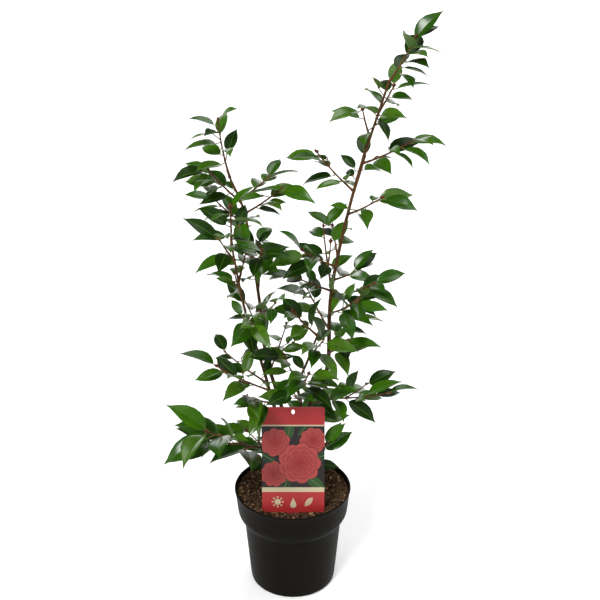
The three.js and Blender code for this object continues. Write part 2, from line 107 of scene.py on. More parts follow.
# Shoots that leave each limb: the height of the joint on it, then the shoot's bearing
# (0 to the right, 90 to the back) and rise in degrees, its length, the turn of its bearing on the way
# and its number of leaves, and where it matters the angle round the stem at which the first leaf stands
SHOOTS = {
    "trunk": [
        (161, -32, 53, 103, -50, 6, 90), (180, 164, 39, 90, 0, 6, 180), (178, 67, 51, 120, 0, 9, 285),
    ],
    "bough_right": [
        (746, -7, 61, 64, 0, 10, 90), (708, 53, 39, 43, 0, 6, 135), (700, -91, 20, 26, 0, 3),
        (674, -122, 62, 46, 0, 3, 240), (639, -24, 29, 79, 10, 6, 0), (601, 163, 44, 70, 0, 6, 90),
        (594, 69, 37, 66, 0, 3, 195), (569, -47, 31, 72, 20, 4, 195), (508, 96, 26, 59, 0, 7, 165),
        (494, -142, 32, 69, -10, 5), (474, 29, 9, 40, 0, 4, 135), (461, 122, 75, 87, 0, 4),
        (458, 158, 14, 60, 0, 5, 45), (447, -28, 28, 73, 10, 7), (425, -61, 31, 88, 20, 5, 150),
        (400, 116, 28, 76, 0, 7, 330), (378, 41, 34, 67, 0, 6, 120), (365, -59, 37, 61, 20, 5, 150),
        (297, -18, 13, 113, 10, 7, 0), (290, -58, 29, 54, 0, 5, 60),
    ],
    "bough_left": [
        (612, -148, 79, 80, 0, 8, 300), (582, 23, 32, 50, 0, 6, 345), (578, -162, 49, 71, 0, 9, 270),
        (562, -10, 37, 64, 0, 6, 240), (544, 138, 22, 76, 0, 7, 90), (512, 61, -5, 35, 0, 3, 240),
        (500, 100, 27, 80, 0, 6, 225), (493, -79, 30, 91, 0, 7), (452, 87, 25, 83, 0, 5, 30),
        (420, -72, 31, 84, 0, 4, 30), (386, 116, 25, 71, 0, 5, 60), (333, 75, 22, 94, 0, 6),
    ],
    "bough_outer": [
        (545, -81, 93, 50, 0, 5), (524, -120, 50, 54, 0, 5, 315), (493, 72, 48, 44, 0, 4, 60),
        (469, 106, 23, 46, 0, 3), (443, -81, 15, 74, 0, 7, 270), (333, 151, 25, 76, 0, 7, 315),
        (321, -160, 34, 90, 0, 7, 315), (300, -121, 32, 76, 0, 6, 255),
    ],
    "bough_middle": [
        (414, -159, 50, 53, 0, 6, 45), (385, -64, 44, 54, 0, 5, 105), (334, -149, 66, 54, 0, 5),
        (326, -74, 42, 73, 0, 6, 210), (303, -100, 38, 66, 0, 5),
    ],
    "bough_low": [
        (290, -141, 30, 49, 0, 5, 15), (268, -172, 7, 38, 0, 4, 15), (253, -105, 19, 24, 0, 2),
    ],
}
TWIG_FOOT_RADIUS = 1.5
TWIG_TIP_RADIUS = 0.9
SHOOT_LIFT = 12
SIDE_TWIG_EVERY = 84
SIDE_TWIG_FROM = 0.42
SIDE_TWIG_STEP = 0.22
SIDE_TWIG_SHIFT = 0.08
SIDE_TWIG_LENGTH = 0.36
SIDE_TWIG_LENGTH_SPREAD = 0.2
SIDE_TWIG_OPENING = 48
SIDE_TWIG_OPENING_SPREAD = 10
SIDE_TWIG_RISE_SPREAD = 14
SIDE_TWIG_LEAVES = 2

# The seeds that a shoot, its side twigs, its spurs and their leaves take
SHOOT_SEEDS = 100
SIDE_TWIG_SEEDS = 20
SPUR_SEEDS = 50
SPUR_LEAF_SEEDS = 7

# Leaves
LEAF_LENGTH = 48
LEAF_LENGTH_SPREAD = 0.2
LEAF_WIDTH = 0.43
LEAF_FOLD = 0.3
LEAF_TURN = 137.5
LEAF_OPENING_LOW = 70
LEAF_OPENING_TIP = 48
LEAF_OPENING_SPREAD = 8
LEAF_FIRST = 0.3
LEAF_CROWDING = 1.25
LEAF_SINK = 3.5
LEAF_RISE = 0.6
LEAF_REACH = 0.55
LEAF_REACH_RISE = 8
LEAF_NOD = 0.2
LEAF_TILT = 0.45
LEAF_SAG = 0.2
LEAF_SAG_SPREAD = 0.1
LIGHT = np.array((0, -0.4, 0.9))

# Room that a leaf needs: from other leaves, from limbs and twigs, and from the label
LEAF_ROOM = 8
LIMB_ROOM = 5
LABEL_ROOM = 7
LABEL_SIGHT_INSET = 10
LABEL_SIGHT_SLOPE = 0.4
RIM_ROOM = 8
LEAF_TRIES = 8
LEAF_TRY_TURN = 47
LEAF_SAMPLES = [(0.3, 0.6), (0.45, 0.8), (0.6, 0.7), (0.75, 0.5), (0.9, 0.2), (1, 0)]
NARROW = 0.3
WOOD_SAMPLE_STEP = 5
HALVINGS = 30

# Finer growth than the solids hold: short spurs with young leaves, where there is room for them
SPUR_EVERY = 30
SPUR_LENGTH = 13
SPUR_RADIUS = 0.7
SPUR_BACK = 0.4
SPUR_SHIFT = 0.3
SPUR_RISE = 30
SPUR_RISE_SPREAD = 25
SPUR_LENGTH_SPREAD = 0.4
SPUR_LEAF_SIZE = 0.72
SPUR_LEAF_SIZE_SPREAD = 0.15
SPUR_LEAF_ROOM = 6
SPUR_LIMB_ROOM = 4

# The topmost leaf leans out to the right and shows its upper side
TOP_LEAF_AHEAD = (0.5, 0, 0.866)
TOP_LEAF_NORMAL = (-0.5, -0.6, 0.6)

UP = np.array((0.0, 0.0, 1.0))
BACK = np.array((0.0, 1.0, 0.0))

# How finely a curve is measured
CURVE_SAMPLES = 200
CURVE_STEP = 1e-4


def chance(thing, choice):
    """A repeatable chance from 0 to 1 for the numbered choice of a numbered thing."""
    wave = math.sin(thing * 12.9898 + choice * 78.233) * 43758.5453
    return wave - math.floor(wave)


def spread(thing, choice):
    return 2 * chance(thing, choice) - 1


def blend(low, high, share):
    return low + (high - low) * share


def unit(vector):
    return vector / np.linalg.norm(vector)


def heading(bearing, rise):
    """The direction of a bearing and a rise in degrees."""
    turn, lift = math.radians(bearing), math.radians(rise)
    return np.array((math.cos(lift) * math.cos(turn), math.cos(lift) * math.sin(turn), math.sin(lift)))


class Line:
    """A curve in space, by a share of its way from 0 to 1."""

    def __init__(self, at):
        self.at = at
        places = np.array([at(i / CURVE_SAMPLES) for i in range(CURVE_SAMPLES + 1)])
        self.length = np.linalg.norm(np.diff(places, axis=0), axis=1).sum()

    def tangent(self, share):
        return unit(self.at(min(1, share + CURVE_STEP)) - self.at(max(0, share - CURVE_STEP)))

    def share_at_height(self, height):
        low, high = 0, 1
        for _ in range(HALVINGS):
            middle = (low + high) / 2
            if self.at(middle)[2] < height:
                low = middle
            else:
                high = middle
        return (low + high) / 2


def limb_line(route):
    """A smooth curve through the route's points."""
    points = np.array(route, float)
    points = np.vstack((2 * points[0] - points[1], points, 2 * points[-1] - points[-2]))

    def at(share):
        way = share * (len(route) - 1)
        step = min(int(way), len(route) - 2)
        way -= step
        before, here, there, after = points[step:step + 4]
        leave, arrive = (there - here + here - before) / 2, (after - here) / 2
        return (here + leave * way + (3 * (there - here) - 2 * leave - arrive) * way ** 2
                + (2 * (here - there) + leave + arrive) * way ** 3)

    return Line(at)


def bow(start, knee, tip):
    """A curve from start to tip that is drawn towards the knee."""
    return Line(lambda share: start * (1 - share) ** 2 + knee * 2 * share * (1 - share) + tip * share ** 2)


def shoot_line(start, bearing, rise, length, turn):
    knee = start + heading(bearing - turn / 2, rise - SHOOT_LIFT / 2) * length / 2
    tip = knee + heading(bearing + turn / 2, rise + SHOOT_LIFT / 2) * length / 2
    return bow(start, knee, tip)


class Twig:
    """A stem that bears leaves."""

    def __init__(self, line, outward, leaves, leaf_size, seed, foot, first=None):
        self.line = line
        self.outward = outward
        self.leaves = leaves
        self.leaf_size = leaf_size
        self.seed = seed
        self.foot = foot
        self.tip = min(foot, TWIG_TIP_RADIUS)
        self.first = 360 * chance(seed, 7) if first is None else first

    def radius_at(self, share):
        return blend(self.foot, self.tip, share)


def grow_twigs(number, start, leaf_size, bearing, rise, length, turn, leaves, first=None):
    """A shoot's stem and the side twigs that a seeded rule sets on it."""
    stem = shoot_line(start, bearing, rise, length, turn)
    outward = heading(bearing, LEAF_REACH_RISE)
    twigs = [Twig(stem, outward, leaves, leaf_size, number * SHOOT_SEEDS, TWIG_FOOT_RADIUS, first)]
    for k in range(length // SIDE_TWIG_EVERY):
        seed = number * SHOOT_SEEDS + SIDE_TWIG_SEEDS * (k + 1)
        along = SIDE_TWIG_FROM + SIDE_TWIG_STEP * k + SIDE_TWIG_SHIFT * spread(seed, 1)
        hand = 1 if (k + number) % 2 == 0 else -1
        opening = SIDE_TWIG_OPENING + SIDE_TWIG_OPENING_SPREAD * spread(seed, 2)
        side_length = length * SIDE_TWIG_LENGTH * (1 + SIDE_TWIG_LENGTH_SPREAD * spread(seed, 3))
        side_rise = rise + SIDE_TWIG_RISE_SPREAD * spread(seed, 4)
        line = shoot_line(stem.at(along), bearing + hand * opening, side_rise, side_length, 0)
        twigs.append(Twig(line, outward, SIDE_TWIG_LEAVES, leaf_size, seed, TWIG_TIP_RADIUS))
    return twigs


class Leaf:
    """One leaf: its root, its heading, the normal of its upper side, its side and its size."""

    def __init__(self, twig, i, turn):
        self.seed = twig.seed + i + 1
        rank = i / (twig.leaves - 1) if twig.leaves > 1 else 1
        self.along = blend(LEAF_FIRST, 1, 1 - (1 - rank) ** LEAF_CROWDING)
        axis = twig.line.tangent(self.along)
        across = unit(np.cross(axis, BACK if abs(axis[2]) > STEEP else UP))
        over = np.cross(across, axis)
        angle = math.radians(twig.first + LEAF_TURN * i + turn)
        opening = math.radians(blend(LEAF_OPENING_LOW, LEAF_OPENING_TIP, rank)
                               + LEAF_OPENING_SPREAD * spread(self.seed, 1))
        ahead = (axis * math.cos(opening) + across * (math.sin(opening) * math.cos(angle))
                 + over * (math.sin(opening) * math.sin(angle)))
        ahead[2] *= LEAF_RISE
        normal = LIGHT + axis * LEAF_NOD
        normal[0] += LEAF_TILT * spread(self.seed, 2)
        normal[1] += LEAF_TILT * spread(self.seed, 3)
        self.face(ahead + twig.outward * LEAF_REACH, normal)
        self.stem_place = twig.line.at(self.along)
        self.axis = axis
        self.root = self.stem_place - axis * LEAF_SINK
        self.length = LEAF_LENGTH * twig.leaf_size * (1 + LEAF_LENGTH_SPREAD * spread(self.seed, 4))
        self.sag = LEAF_SAG + LEAF_SAG_SPREAD * spread(self.seed, 5)

    def face(self, ahead, normal):
        self.ahead = unit(ahead)
        self.normal = unit(normal - self.ahead * normal.dot(self.ahead))
        self.side = np.cross(self.normal, self.ahead)

    def point(self, along, aside):
        """The point at a fraction of its length, set off to the side by a fraction of its width."""
        half_width = 0.5 * LEAF_WIDTH * self.length
        lift = LEAF_FOLD * half_width * abs(aside) - self.sag * self.length * along ** 2
        return (self.root + self.ahead * (self.length * along) + self.normal * lift
                + self.side * (half_width * aside))

    def samples(self):
        return np.array([self.point(along, aside) for along, width in LEAF_SAMPLES
                         for aside in ((-width, 0, width) if width > NARROW else (0,))])


label_lean = math.radians(LABEL_LEAN)
label_foot = np.array((LABEL_ASIDE, -LABEL_FOOT_FORWARD, SOIL_TOP + LABEL_ABOVE_SOIL))
label_up = np.array((0, math.sin(label_lean), math.cos(label_lean)))
label_face = np.array((0, -math.cos(label_lean), math.sin(label_lean)))


def hits_label(points):
    offset = points - label_foot
    before = offset @ label_face
    aside = abs(offset[:, 0]) - LABEL_WIDTH / 2
    above = offset @ label_up - LABEL_HEIGHT
    touches = np.maximum(np.maximum(aside, above), abs(before)) < LABEL_ROOM
    hides = (before > 0) & (aside < -LABEL_SIGHT_INSET) & (above < LABEL_SIGHT_SLOPE * before)
    return (touches | hides).any()


def hits_pot(points):
    low = points[:, 2] < POT_HEIGHT + RIM_ROOM
    return (low & (np.hypot(points[:, 0], points[:, 1]) < RIM_RADIUS + RIM_ROOM)).any()


class Room:
    """The places that leaves and wood have taken."""

    def __init__(self):
        self.leaves = np.zeros((0, 3))
        self.wood = np.zeros((0, 3))
        self.wood_radius = np.zeros(0)

    def take_wood(self, line, radius_at):
        steps = math.ceil(line.length / WOOD_SAMPLE_STEP)
        shares = [i / steps for i in range(steps + 1)]
        self.wood = np.vstack((self.wood, [line.at(share) for share in shares]))
        self.wood_radius = np.append(self.wood_radius, [radius_at(share) for share in shares])

    def holds(self, samples, leaf_room, limb_room):
        if hits_label(samples) or hits_pot(samples):
            return False
        for sample in samples:
            if (np.linalg.norm(self.leaves - sample, axis=1) <= leaf_room).any():
                return False
            if (np.linalg.norm(self.wood - sample, axis=1) <= self.wood_radius + limb_room).any():
                return False
        return True

    def seat(self, twig, i, leaf_room, limb_room):
        """The twig's leaf of that rank, turned round the stem until it has room, or None."""
        for attempt in range(LEAF_TRIES):
            leaf = Leaf(twig, i, attempt * LEAF_TRY_TURN)
            samples = leaf.samples()
            if self.holds(samples, leaf_room, limb_room):
                self.leaves = np.vstack((self.leaves, samples))
                return leaf
        return None


class Limb:
    """The trunk or a bough, with its shoots."""

    def __init__(self, name, route, foot, tip, flare=0, leaf_size=1):
        self.name = name
        self.line = limb_line(route)
        self.foot = foot
        self.tip = tip
        self.flare = flare
        self.leaf_size = leaf_size
        self.shoots = []

    def radius_at(self, share):
        return blend(self.foot, self.tip, share) + self.flare * math.exp(-FLARE_FADE * share)


class Shoot:
    """One leafy shoot: its twigs, its leaves and its spurs."""

    def __init__(self, twigs):
        self.twigs = twigs
        self.leaves = []
        self.spurs = []


def grow_plant():
    """Limbs, then every shoot's twigs, then the leaves with room for them, then the spurs."""
    limbs = [Limb(name, **limb) for name, limb in LIMBS.items()]
    number = 0
    for limb in limbs:
        for height, *shoot in SHOOTS[limb.name]:
            number += 1
            start = limb.line.at(limb.line.share_at_height(height))
            limb.shoots.append(Shoot(grow_twigs(number, start, limb.leaf_size, *shoot)))
    shoots = [shoot for limb in limbs for shoot in limb.shoots]
    room = Room()
    for stem in limbs + [twig for shoot in shoots for twig in shoot.twigs]:
        room.take_wood(stem.line, stem.radius_at)
    for shoot in shoots:
        for twig in shoot.twigs:
            found = [room.seat(twig, i, LEAF_ROOM, LIMB_ROOM) for i in range(twig.leaves)]
            shoot.leaves += [leaf for leaf in found if leaf]
    for shoot in shoots:
        grow_spurs(shoot, room)
    leaves = [leaf for shoot in shoots for leaf in shoot.leaves]
    top_leaf = max(leaves, key=lambda leaf: leaf.point(1, 0)[2])
    top_leaf.face(np.array(TOP_LEAF_AHEAD), np.array(TOP_LEAF_NORMAL))
    return limbs


def grow_spurs(shoot, room):
    """Short spurs along a shoot's twigs, each with a young leaf at its tip."""
    for twig in shoot.twigs:
        for k in range(1, int(twig.line.length / SPUR_EVERY) + 1):
            seed = twig.seed + SPUR_SEEDS + k
            share = (k - SPUR_BACK + SPUR_SHIFT * spread(seed, 1)) * SPUR_EVERY / twig.line.length
            if share > 1:
                continue
            axis = twig.line.tangent(share)
            bearing = math.degrees(math.atan2(axis[1], axis[0])) + 360 * chance(seed, 2)
            rise = SPUR_RISE + SPUR_RISE_SPREAD * spread(seed, 4)
            length = SPUR_LENGTH * (1 + SPUR_LENGTH_SPREAD * spread(seed, 3))
            line = shoot_line(twig.line.at(share), bearing, rise, length, 0)
            outward = unit(line.tangent(1) + twig.outward)
            size = twig.leaf_size * SPUR_LEAF_SIZE * (1 + SPUR_LEAF_SIZE_SPREAD * spread(seed, 5))
            spur = Twig(line, outward, 1, size, seed * SPUR_LEAF_SEEDS, SPUR_RADIUS)
            leaf = room.seat(spur, 0, SPUR_LEAF_ROOM, SPUR_LIMB_ROOM)
            if leaf:
                shoot.spurs.append(spur)
                shoot.leaves.append(leaf)


# Meshes
WELD = 1e-7
carrier = bpy.data.meshes.new("carrier")


def new_bmesh():
    form = bmesh.new()
    form.loops.layers.uv.new("UVMap")
    return form


def join(form, part):
    """Adds a small form to a large one."""
    part.to_mesh(carrier)
    part.free()
    form.from_mesh(carrier)


def wrap(form, across, along, place, slots=(0,)):
    """A grid laid over a surface: place gives the point for two shares from 0 to 1, in millimetres.

    Each column of faces has its own slot, or all have the first one.
    """
    sheet = new_bmesh()
    bmesh.ops.create_grid(sheet, x_segments=across, y_segments=along, size=0.5, calc_uvs=True)
    for face in sheet.faces:
        column = int((face.calc_center_median().x + 0.5) * across)
        face.material_index = slots[column % len(slots)]
    for vert in sheet.verts:
        vert.co = Vector(place(vert.co.x + 0.5, vert.co.y + 0.5)) * MM
    join(form, sheet)


def step_angle(share, steps):
    """The angle at a share of a full turn, where the last step falls on the first."""
    return 2 * math.pi * (round(share * steps) % steps) / steps


def wrap_tube(form, line, radius_at, sides, along, slot=0, relief=None):
    """A closed tube round a line, which is drawn in to a pole at each end."""
    reference = BACK if abs(line.tangent(0)[2]) > STEEP else UP
    rings = []
    for i in range(along + 1):
        share = min(max((i - 1) / (along - 2), 0), 1)
        axis = line.tangent(share)
        side = unit(np.cross(axis, reference))
        radius = 0 if i in (0, along) else radius_at(share)
        rings.append((line.at(share), side, np.cross(axis, side), radius, share))

    def place(round_share, along_share):
        centre, side, over, radius, share = rings[round(along_share * along)]
        angle = step_angle(round_share, sides)
        if relief and radius:
            radius += relief(centre, angle, share)
        return centre + side * (radius * math.cos(angle)) + over * (radius * math.sin(angle))

    wrap(form, sides, along, place, [slot])


def spin_profile(form, points, steps):
    """A profile in the upright plane, spun once about the upright axis."""
    verts = [form.verts.new(point) for point in points]
    edges = [form.edges.new(pair) for pair in zip(verts, verts[1:])]
    bmesh.ops.spin(form, geom=verts + edges, cent=(0, 0, 0), axis=(0, 0, 1), angle=2 * math.pi,
                   steps=steps, use_merge=True)


def add_object(name, form, materials):
    """An object at the origin, made of a form and its materials."""
    mesh = bpy.data.meshes.new(name)
    form.to_mesh(mesh)
    form.free()
    for material in materials:
        mesh.materials.append(material)
    made = bpy.data.objects.new(name, mesh)
    bpy.context.scene.collection.objects.link(made)
    return made


def finish_mesh(name, form, materials, replaced=(), smooth=True, weld=True):
    """A piece of the object: welded, facing out and riding on its body."""
    if weld:
        bmesh.ops.remove_doubles(form, verts=form.verts, dist=WELD)
    bmesh.ops.recalc_face_normals(form, faces=form.faces)
    for face in form.faces:
        face.smooth = smooth
    piece = add_object(name, form, materials)
    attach(piece, "root")
    if replaced:
        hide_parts(*replaced)
    return piece


# Shader maths
def operator(operation, swapped=False):
    """A method that stands for a Math node, with its two values swapped for a reflected form."""

    def method(self, other):
        return self.finish.maths(operation, *((other, self) if swapped else (self, other)))

    return method


class Wire:
    """A socket's value, with Python's operators for its maths."""

    def __init__(self, finish, socket):
        self.finish = finish
        self.socket = socket

    __add__ = __radd__ = operator("ADD")
    __mul__ = __rmul__ = operator("MULTIPLY")
    __sub__ = operator("SUBTRACT")
    __rsub__ = operator("SUBTRACT", swapped=True)
    __truediv__ = operator("DIVIDE")
    __rtruediv__ = operator("DIVIDE", swapped=True)
    __pow__ = operator("POWER")
    __gt__ = operator("GREATER_THAN")
    __lt__ = operator("LESS_THAN")

    def __abs__(self):
        return self.finish.maths("ABSOLUTE", self)


class Finish:
    """A material that is being made."""

    def __init__(self, name):
        self.material = bpy.data.materials.new(name)
        self.material.use_nodes = True
        self.tree = self.material.node_tree
        self.tree.nodes.clear()

    def node(self, kind, settings=None, sockets=None, output=0):
        """Any node, by type, settings and its sockets' values or links. No output means all of them."""
        made = self.tree.nodes.new(kind)
        for name, value in (settings or {}).items():
            setattr(made, name, value)
        for name, value in (sockets or {}).items():
            if isinstance(value, Wire):
                self.tree.links.new(value.socket, made.inputs[name])
            else:
                made.inputs[name].default_value = value
        if output is None:
            return [Wire(self, socket) for socket in made.outputs]
        return Wire(self, made.outputs[output])

    def maths(self, operation, *values):
        return self.node("ShaderNodeMath", {"operation": operation}, dict(enumerate(values)))

    def clamp(self, value):
        return self.node("ShaderNodeClamp", None, {0: value})

    def sharpen(self, value, gain, drop):
        """A pattern with more contrast, kept from 0 to 1."""
        return self.clamp(value * gain - drop)

    def mix(self, share, first, second):
        return self.node("ShaderNodeMix", {"data_type": "RGBA"}, {0: share, 6: first, 7: second}, 2)

    def tone(self, share, name):
        """From a finish's dark colour to its light one."""
        dark, light = TONES[name]
        return self.mix(share, colour(*dark), colour(*light))

    def place(self):
        return self.node("ShaderNodeTexCoord", output="Object")

    def split(self, vector):
        return self.node("ShaderNodeSeparateXYZ", None, {0: vector}, None)

    def scaled(self, vector, scale):
        return self.node("ShaderNodeMapping", None, {"Vector": vector, "Scale": scale})

    def noise(self, vector, scale, detail, roughness=0.5):
        return self.node("ShaderNodeTexNoise", None,
                         {"Vector": vector, "Scale": scale, "Detail": detail, "Roughness": roughness})

    def bump(self, height, strength, distance):
        return self.node("ShaderNodeBump", None,
                         {"Height": height, "Strength": strength, "Distance": distance * MM})

    def surface(self, tone, rough, normal, **more):
        sockets = {"Base Color": tone, "Roughness": rough, "Normal": normal}
        sockets.update({name.replace("_", " "): value for name, value in more.items()})
        shader = self.node("ShaderNodeBsdfPrincipled", None, sockets)
        self.node("ShaderNodeOutputMaterial", None, {"Surface": shader}, None)
        return self.material


# Screen colours of the finishes: the dark and the light one between which a pattern goes
TONES = {
    "black_plastic": ((10, 8, 5), (15, 12, 8)),
    "compost": ((18, 9, 4), (88, 62, 38)),
    "crumb_dark": ((12, 6, 3), (46, 31, 19)),
    "crumb_brown": ((46, 30, 18), (104, 75, 49)),
    "crumb_bark": ((92, 68, 47), (172, 134, 96)),
    "old_bark": ((16, 8, 3), (80, 60, 38)),
    "young_bark": ((27, 12, 3), (104, 70, 34)),
    "twig_brown": ((32, 14, 4), (106, 70, 34)),
    "twig_green": ((54, 52, 18), (104, 95, 38)),
    "stalk": ((74, 78, 30), (124, 112, 52)),
    "bud_brown": ((54, 24, 14), (104, 56, 36)),
    "bud_tan": ((70, 46, 24), (118, 84, 48)),
}
# The colour of the shade painted into the pot's hollow under its rim band
PAINTED_SHADE_TONE = (4, 3, 2)
GRIT_TONES = {"grit_tan": (158, 138, 108), "grit_white": (202, 196, 180)}
FIBRE_TONES = {"fibre_tan": (152, 124, 88), "fibre_brown": (92, 64, 40)}
LABEL_BACK_TONE = (176, 170, 160)

# Each leaf finish's screen colour, roughness and coat: four greens, the midrib and the paler back
LEAF_GREENS = 4
LEAF_SKINS = {
    "leaf_1": ((22, 48, 2), 0.36, 0.12),
    "leaf_2": ((35, 74, 3), 0.3, 0.55),
    "leaf_3": ((49, 90, 5), 0.36, 0.18),
    "leaf_4": ((58, 94, 11), 0.28, 0.75),
    "leaf_rib": ((62, 98, 25), 0.42, 0.05),
    "leaf_back": ((76, 104, 44), 0.6, 0.0),
}


def colour(red, green, blue):
    """A colour from the 0 to 255 of a screen, as light, by the screens' standard curve."""
    light = [value / 255 / 12.92 if value <= 10 else ((value / 255 + 0.055) / 1.055) ** 2.4
             for value in (red, green, blue)]
    return (*light, 1.0)


def shades(tone, depth):
    """A darker and a lighter shade of a tone."""
    dark = tuple(value * (1 - depth) for value in tone[:3])
    light = tuple(min(1, value * (1 + depth)) for value in tone[:3])
    return (*dark, 1.0), (*light, 1.0)


# Painted shade: the pot's colour is darkened in the hollow between its wall and its rim band, where less
# light comes
PAINTED_SHADE_HEIGHT = SHOULDER_HEIGHT + 3
PAINTED_SHADE_REACH = 5
PAINTED_SHADE_EDGE = 2.2
PAINTED_SHADE_STRENGTH = 0.8


def black_plastic():
    finish = Finish("black_plastic")
    place = finish.place()
    grain = finish.noise(place, scale=900, detail=3)
    cloud = finish.noise(finish.scaled(place, (14, 14, 5)), scale=1, detail=3)
    tone = finish.tone(finish.sharpen(cloud, gain=2, drop=0.5), "black_plastic")
    height = finish.split(place)[2] / MM
    # Painted shade: the colour darkens towards the hollow under the rim band
    painted_shade = finish.clamp(PAINTED_SHADE_EDGE - abs(height - PAINTED_SHADE_HEIGHT) / PAINTED_SHADE_REACH)
    tone = finish.mix(painted_shade * PAINTED_SHADE_STRENGTH, tone, colour(*PAINTED_SHADE_TONE))
    rough = 0.44 + cloud * 0.16
    bump = finish.bump(grain, strength=0.25, distance=0.15)
    return finish.surface(tone, rough, bump, Specular_IOR_Level=0.05)


def soil_finish(name):
    finish = Finish(name)
    grain = finish.noise(finish.place(), scale=260, detail=4, roughness=0.65)
    tone = finish.tone(finish.sharpen(grain, gain=2.6, drop=0.8), name)
    bump = finish.bump(grain, strength=0.7, distance=0.8)
    return finish.surface(tone, rough=0.95, normal=bump, Specular_IOR_Level=0.2)


def plain_finish(name, tone, rough, depth=0.12, **more):
    """A tone that drifts a little from place to place, with a fine grain."""
    finish = Finish(name)
    drift = finish.noise(finish.place(), scale=60, detail=2)
    grain = finish.noise(finish.place(), scale=500, detail=3)
    bump = finish.bump(grain, strength=0.3, distance=0.1)
    return finish.surface(finish.mix(drift, *shades(tone, depth)), rough, bump, **more)


# Metres above the ground where the old bark gives way to the young, and how soon
YOUNG_BARK_FROM = 0.30
YOUNG_BARK_GAIN = 3.2


def bark_finish():
    """Streaked bark, old and grey-brown below, young and redder above."""
    finish = Finish("bark")
    place = finish.place()
    height = finish.split(place)[2]
    streak = finish.noise(finish.scaled(place, (700, 700, 90)), scale=1, detail=4, roughness=0.6)
    patch = finish.noise(finish.scaled(place, (160, 160, 45)), scale=1, detail=2)
    young = finish.clamp((height - YOUNG_BARK_FROM) * YOUNG_BARK_GAIN + (patch - 0.5) * 0.5)
    strong = finish.sharpen(streak, gain=2.2, drop=0.6)
    tone = finish.mix(young, finish.tone(strong, "old_bark"), finish.tone(strong, "young_bark"))
    bump = finish.bump(streak, strength=0.8, distance=0.35)
    return finish.surface(tone, rough=0.62, normal=bump, Specular_IOR_Level=0.1)


def twig_finish(name):
    finish = Finish(name)
    streak = finish.noise(finish.place(), scale=420, detail=3)
    tone = finish.tone(finish.sharpen(streak, gain=2.2, drop=0.6), name)
    bump = finish.bump(streak, strength=0.4, distance=0.15)
    return finish.surface(tone, rough=0.5, normal=bump, Specular_IOR_Level=0.14)


def leaf_finish(name, tone, rough, coat):
    """A leaf's skin: glossy in patches, with a tone that drifts and a fine grain."""
    finish = Finish(name)
    place = finish.place()
    drift = finish.sharpen(finish.noise(place, scale=75, detail=3), gain=2, drop=0.5)
    gloss = finish.noise(place, scale=130, detail=2)
    grain = finish.noise(place, scale=700, detail=2)
    skin = finish.mix(drift, *shades(colour(*tone), depth=0.2))
    patchy = rough - 0.1 + gloss * 0.2
    bump = finish.bump(grain, strength=0.3, distance=0.15)
    return finish.surface(skin, patchy, bump, Coat_Weight=coat, Coat_Roughness=0.24, Specular_IOR_Level=0.1)


# Pot
def make_pot():
    """The pot as one profile, spun about the axis."""
    form = new_bmesh()
    profile = [
        # Underside and foot
        (0, 0), (BASE_RADIUS - 6, 0), (BASE_RADIUS - 2.4, 0.8),
        (BASE_RADIUS - 0.4, 3), (BASE_RADIUS + 0.1, 6),
        # Shoulder
        (SHOULDER_RADIUS - 0.5, SHOULDER_HEIGHT - 3), (SHOULDER_RADIUS + 0.3, SHOULDER_HEIGHT),
        (SHOULDER_RADIUS + 2.6, SHOULDER_HEIGHT + 4), (BAND_FOOT_RADIUS - 1.6, BAND_FOOT_HEIGHT - 4.5),
        # Rim band and lip
        (BAND_FOOT_RADIUS, BAND_FOOT_HEIGHT), (BAND_FOOT_RADIUS + 0.6, BAND_FOOT_HEIGHT + 4),
        (RIM_RADIUS - 1.2, POT_HEIGHT - 4.2), (RIM_RADIUS - 0.1, POT_HEIGHT - 3.4),
        (RIM_RADIUS, POT_HEIGHT - 1), (RIM_RADIUS - 0.5, POT_HEIGHT - 0.25), (RIM_RADIUS - 1.1, POT_HEIGHT),
        (RIM_RADIUS - 1.9, POT_HEIGHT - 0.25), (RIM_RADIUS - POT_WALL - 0.1, POT_HEIGHT - 1.2),
        # Inside
        (BAND_FOOT_RADIUS - POT_WALL, BAND_FOOT_HEIGHT), (SHOULDER_RADIUS - POT_WALL, SHOULDER_HEIGHT),
        (BASE_RADIUS - POT_WALL, POT_FLOOR + 5), (BASE_RADIUS - POT_WALL - 5, POT_FLOOR), (0, POT_FLOOR),
    ]
    spin_profile(form, [Vector((radius, 0, height)) * MM for radius, height in profile], POT_STEPS)
    pot = finish_mesh("nursery_pot", form, [black_plastic()], ["pot"])
    soften = pot.modifiers.new("soften", "SUBSURF")
    soften.levels = soften.render_levels = 1


# Soil
SOIL_RINGS = 90
SOIL_STEPS = 260
SOIL_EDGE_CLEAR = 0.3
SOIL_TAPER = 3.5
SOIL_EDGE_RISE = 4
SOIL_UNDER_CLEAR = 1.8

# Unevenness of the soil: its plane in the noise, its scale, its height and the noise's own settings
CLODS = (3, 0.11, 1.6, (0.9, 2.1, 3))
GRAINS = (9, 0.45, 0.7, (0.8, 2.2, 3))


def uneven(x, y, plane, scale, height, settings):
    return noise.fractal(Vector((x, y, plane)) * scale, *settings) * height


def soil_height(x, y):
    """The soil's surface: nearly level, banked up against the wall, with clods and grains."""
    radius = math.hypot(x, y)
    near_wall = min(1, max(0, (radius - SOIL_BANK_FROM) / SOIL_BANK_WIDTH))
    dome = SOIL_TOP - SOIL_EDGE_DROP * min(1, radius / SOIL_DOME_RADIUS) ** 2
    bank = SOIL_BANK * near_wall ** 2 * (3 - 2 * near_wall)
    return dome + bank + uneven(x, y, *CLODS) + uneven(x, y, *GRAINS) - SOIL_SINK


def soil_edge_radius(height):
    share = (height - BAND_FOOT_HEIGHT) / (POT_HEIGHT - BAND_FOOT_HEIGHT)
    return blend(BAND_FOOT_RADIUS, RIM_RADIUS, share) - POT_WALL - SOIL_GAP


